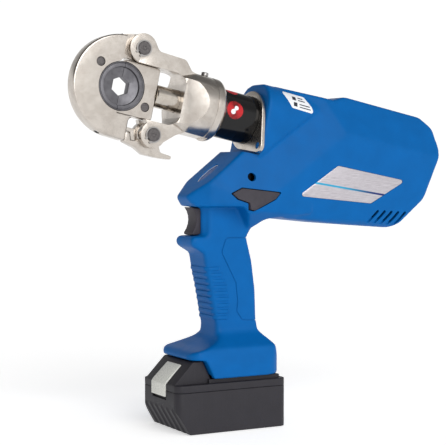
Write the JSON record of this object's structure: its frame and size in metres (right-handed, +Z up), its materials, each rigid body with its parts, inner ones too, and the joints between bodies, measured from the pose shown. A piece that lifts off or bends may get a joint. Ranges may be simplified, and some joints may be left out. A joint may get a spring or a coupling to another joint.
{
  "type": "battery hydraulic crimping tool",
  "caption": "Pistol-grip battery hydraulic crimping tool with a swivelling C-shaped flip-open head, half-shell hexagon dies and a slide-in battery that it stands on.",
  "frame": {"origin": "centre of the battery's underside, on the surface the tool stands on", "axes": "+X rearward along the tool, away from the head; +Y the tool's right side; +Z up"},
  "size_m": [0.3834, 0.08, 0.3654],
  "materials": {
    "blue_housing": "satin moulded plastic",
    "battery_plastic": "fine spark-eroded plastic",
    "control_plastic": "matt plastic",
    "pale_button": "grained plastic",
    "nickel_steel": "satin nickel plate",
    "steel": "turned steel",
    "ram_steel": "hard chrome",
    "die_steel": "blackened hardened steel",
    "black_sleeve": "gloss black paint",
    "black_oxide": "black oxide",
    "label_silver": "brushed foil",
    "cast_alloy": "as machined",
    "black_plastic": "matt",
    "reservoir_rubber": "matt",
    "brass": "bright",
    "board_green": "solder mask",
    "cell_wrap": "shrink-wrapped cells"
  },
  "bodies": {
    "tool_body": {"housing_left": "blue_housing", "housing_right": "blue_housing", "housing_screw_front": "black_oxide", "housing_screw_middle": "black_oxide", "housing_screw_rear": "black_oxide", "side_label_left": "label_silver", "side_label_right": "label_silver", "nameplate": "label_silver", "trigger_switch": "black_plastic", "trigger_spring": "steel", "retract_spring": "steel", "foot_rails": "steel", "terminal_block": "black_plastic", "terminal_blade_left": "brass", "terminal_blade_right": "brass", "cylinder_sleeve": "black_sleeve", "cylinder": "steel", "return_spring": "steel", "flange_plate": "nickel_steel", "pump_block": "cast_alloy", "pump_shaft": "steel", "relief_valve": "brass", "oil_reservoir": "reservoir_rubber", "gearbox": "cast_alloy", "motor": "cast_alloy", "motor_cap": "black_plastic", "control_board": "board_green"},
    "battery": {"battery_tub": "battery_plastic", "battery_cover": "battery_plastic", "cell_block": "cell_wrap"},
    "battery_button": {"battery_button": "pale_button"},
    "trigger": {"trigger": "control_plastic"},
    "retract_button": {"retract_button": "control_plastic"},
    "head": {"yoke": "nickel_steel", "swivel_screw": "steel", "hinge_pin": "die_steel", "hinge_clip_left": "steel", "hinge_clip_right": "steel", "latch_pin": "die_steel", "latch_clip_left": "steel", "latch_clip_right": "steel", "latch_spring": "steel"},
    "jaw": {"jaw": "nickel_steel", "jaw_set_screw": "black_oxide", "jaw_die": "die_steel"},
    "jaw_die_button": {"jaw_die_button": "die_steel"},
    "latch": {"latch": "nickel_steel"},
    "ram": {"ram": "ram_steel", "carriage": "nickel_steel", "ram_die": "die_steel"},
    "ram_die_button": {"ram_die_button": "die_steel"}
  },
  "joints": [
    {"name": "head_swivel", "type": "hinge", "parent": "tool_body", "child": "head", "pos_m": [0, 0, 0.2964], "axis": [0.9781, 0, -0.2079], "range_deg": [-175, 175]},
    {"name": "jaw_hinge", "type": "hinge", "parent": "head", "child": "jaw", "pos_m": [-0.07818, 0, 0.35187], "axis": [0, 1, 0], "range_deg": [0, 100]},
    {"name": "latch_pivot", "type": "hinge", "parent": "head", "child": "latch", "pos_m": [-0.06925, 0, 0.2736], "axis": [0, -1, 0], "range_deg": [0, 18], "stiffness_Nm_per_rad": 0.6, "springref_deg": -11.46},
    {"name": "ram_slide", "type": "slide", "parent": "head", "child": "ram", "axis": [0.9781, 0, -0.2079], "range_m": [0, 0.015]},
    {"name": "jaw_die_button_press", "type": "slide", "parent": "jaw", "child": "jaw_die_button", "axis": [0, 1, 0], "range_m": [0, 0.0025], "stiffness_N_per_m": 300, "springref_m": -0.001},
    {"name": "ram_die_button_press", "type": "slide", "parent": "ram", "child": "ram_die_button", "axis": [0, 1, 0], "range_m": [0, 0.0025], "stiffness_N_per_m": 300, "springref_m": -0.001},
    {"name": "trigger_pull", "type": "slide", "parent": "tool_body", "child": "trigger", "axis": [1, 0, 0], "range_m": [0, 0.006], "stiffness_N_per_m": 500, "springref_m": -0.002},
    {"name": "retract_press", "type": "slide", "parent": "tool_body", "child": "retract_button", "axis": [0, 1, 0], "range_m": [0, 0.003], "stiffness_N_per_m": 500, "springref_m": -0.001},
    {"name": "battery_slide", "type": "slide", "parent": "tool_body", "child": "battery", "axis": [-1, 0, 0], "range_m": [0, 0.07]},
    {"name": "battery_button_press", "type": "slide", "parent": "battery", "child": "battery_button", "axis": [0.6931, 0, -0.7209], "range_m": [0, 0.002], "stiffness_N_per_m": 500, "springref_m": -0.001}
  ]
}
